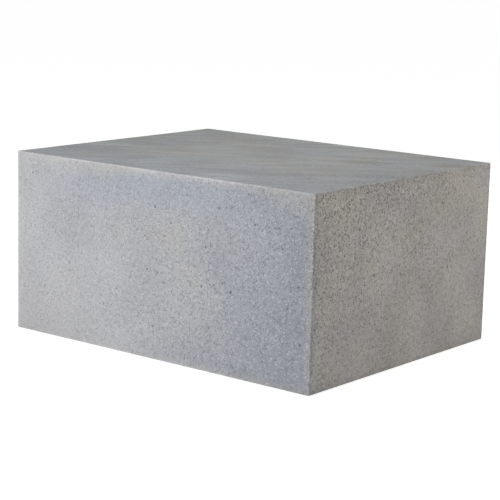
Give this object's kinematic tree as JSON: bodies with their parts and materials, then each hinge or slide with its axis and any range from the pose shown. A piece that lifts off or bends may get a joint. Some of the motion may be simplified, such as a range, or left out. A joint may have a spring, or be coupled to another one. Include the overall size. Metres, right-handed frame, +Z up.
{
  "type": "concrete block",
  "caption": "Solid rectangular building block of grey aerated concrete with plain wire-cut faces and sharp arrises, laid flat on its bed in foundation walls.",
  "frame": {"origin": "middle of the lower bed face, on the level that the block rests on", "axes": "+X along the length, +Y through the wall's thickness towards the back, +Z up from bed face to bed face"},
  "size_m": [0.44, 0.35, 0.215],
  "materials": {
    "aerated_concrete": "matt wire-cut grey concrete with fine open pores"
  },
  "bodies": {
    "root": {"block": "aerated_concrete"}
  },
  "joints": []
}
